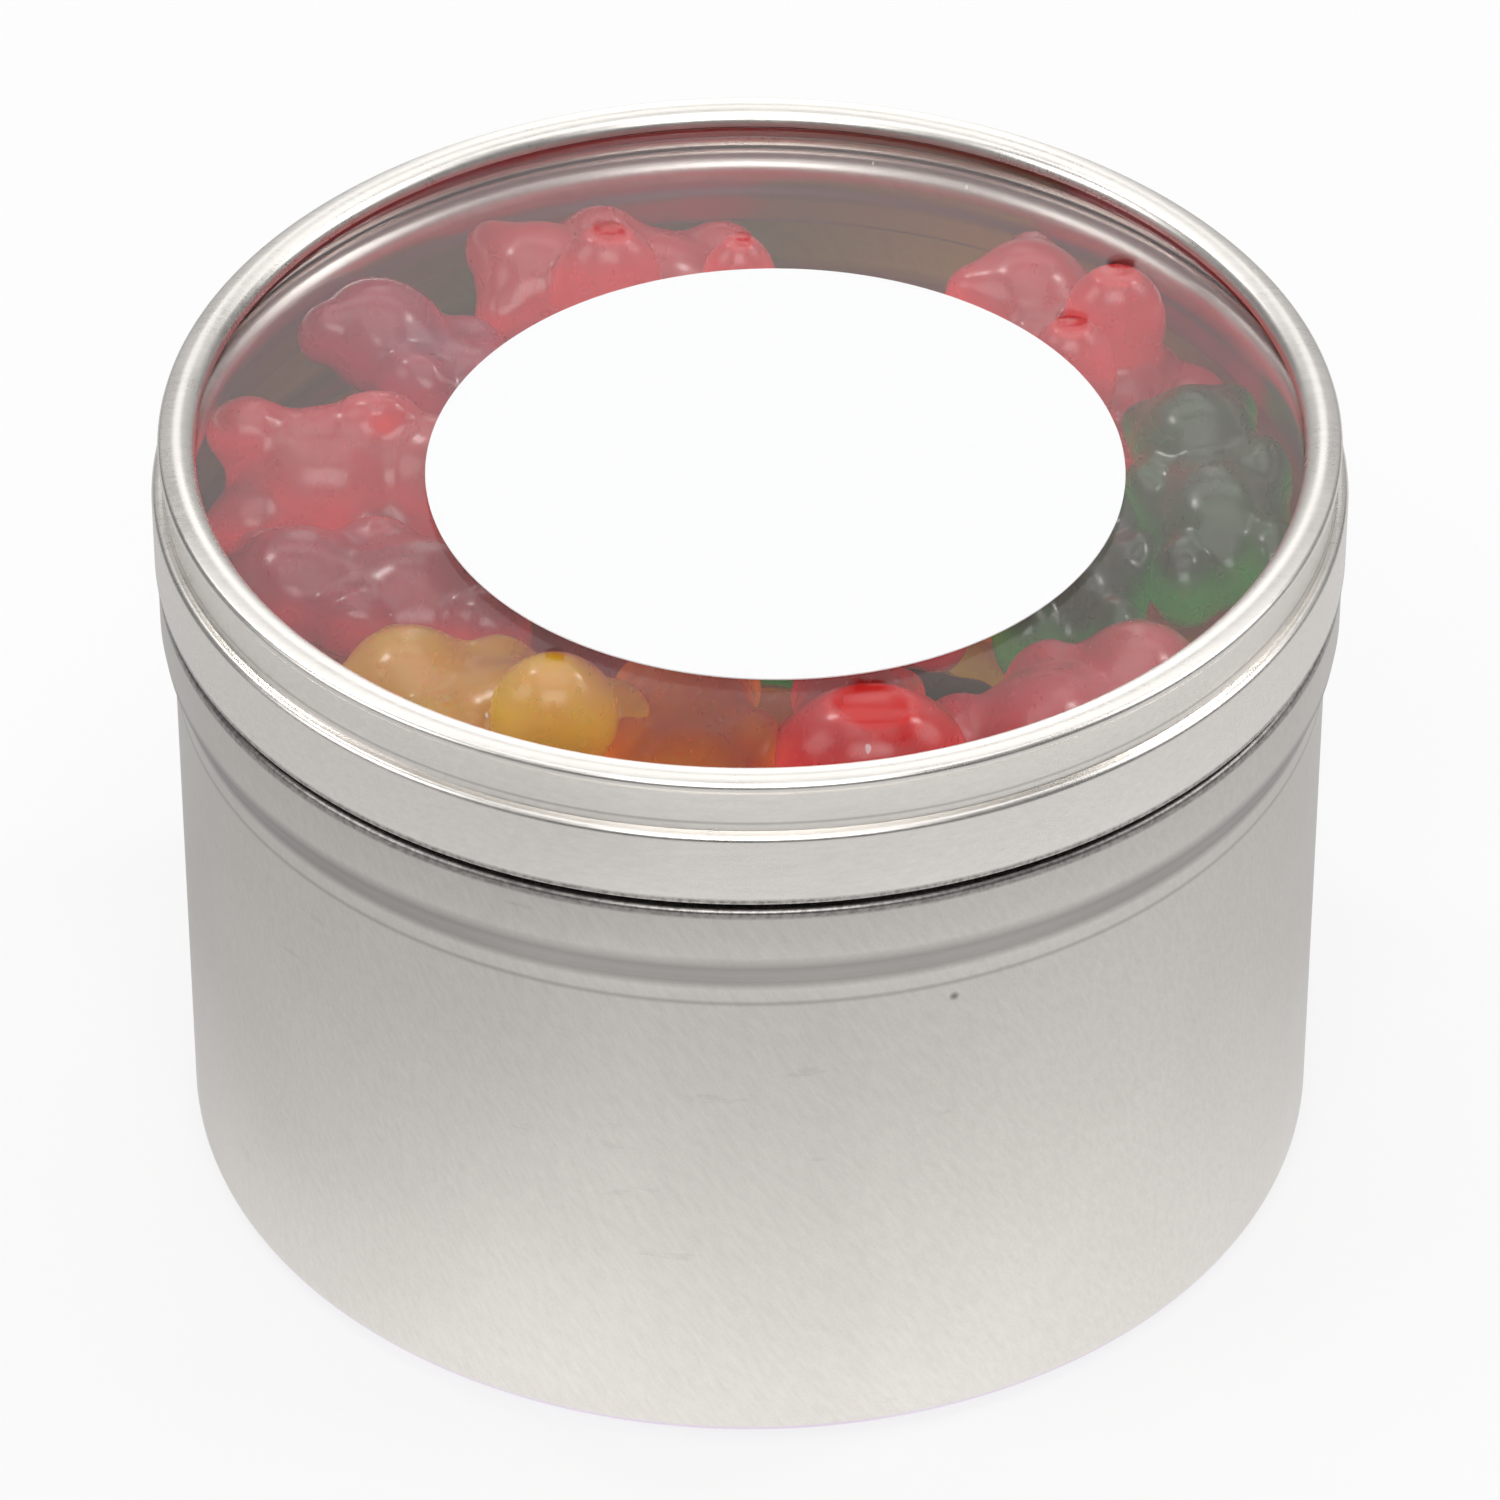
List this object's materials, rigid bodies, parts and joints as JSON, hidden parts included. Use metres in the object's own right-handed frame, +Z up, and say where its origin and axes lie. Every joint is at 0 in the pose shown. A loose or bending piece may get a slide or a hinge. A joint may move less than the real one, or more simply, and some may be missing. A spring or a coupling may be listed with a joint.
{
  "type": "window lid tin",
  "caption": "Round metal tin with a slip-on lid that has a clear window and a bare round label, filled with soft moulded sweets.",
  "frame": {"origin": "middle of the base, in the plane that the tin stands on", "axes": "+Z up along the tin's axis, -Y towards the front of the picture, +X to its right"},
  "size_m": [0.0858, 0.0858, 0.0602],
  "materials": {
    "metal": "satin tinplate",
    "window": "clear polished plastic",
    "label": "plain white",
    "red_sweet": "soft clear gelatine",
    "crimson_sweet": "soft clear gelatine",
    "pink_sweet": "soft clear gelatine",
    "purple_sweet": "soft clear gelatine",
    "yellow_sweet": "soft clear gelatine",
    "orange_sweet": "soft clear gelatine",
    "green_sweet": "soft clear gelatine",
    "clear_sweet": "soft clear gelatine"
  },
  "bodies": {
    "tin": {"tin_body": "metal", "red_sweet_at_back": "red_sweet", "purple_sweet_at_back_left": "purple_sweet", "red_sweet_at_left": "red_sweet", "crimson_sweet_at_left": "crimson_sweet", "yellow_sweet_at_front_left": "yellow_sweet", "orange_sweet_at_front": "orange_sweet", "red_sweet_at_front": "red_sweet", "pink_sweet_at_front_right": "pink_sweet", "green_sweet_at_front_right": "green_sweet", "green_sweet_at_right": "green_sweet", "red_sweet_at_back_right": "red_sweet", "peach_sweet_at_left": "orange_sweet", "amber_sweet_at_front": "orange_sweet", "amber_sweet_at_right": "orange_sweet", "sweets_under_label": "clear_sweet", "lower_red_sweets": "red_sweet", "lower_orange_sweets": "orange_sweet", "lower_yellow_sweets": "yellow_sweet", "lower_green_sweets": "green_sweet", "lower_clear_sweets": "clear_sweet"},
    "lid": {"lid_ring": "metal", "lid_window": "window", "window_retaining_ring": "metal", "window_label": "label"}
  },
  "joints": [
    {"name": "lid_lift", "type": "slide", "parent": "tin", "child": "lid", "axis": [0, 0, 1], "range_m": [0, 0.03]}
  ]
}
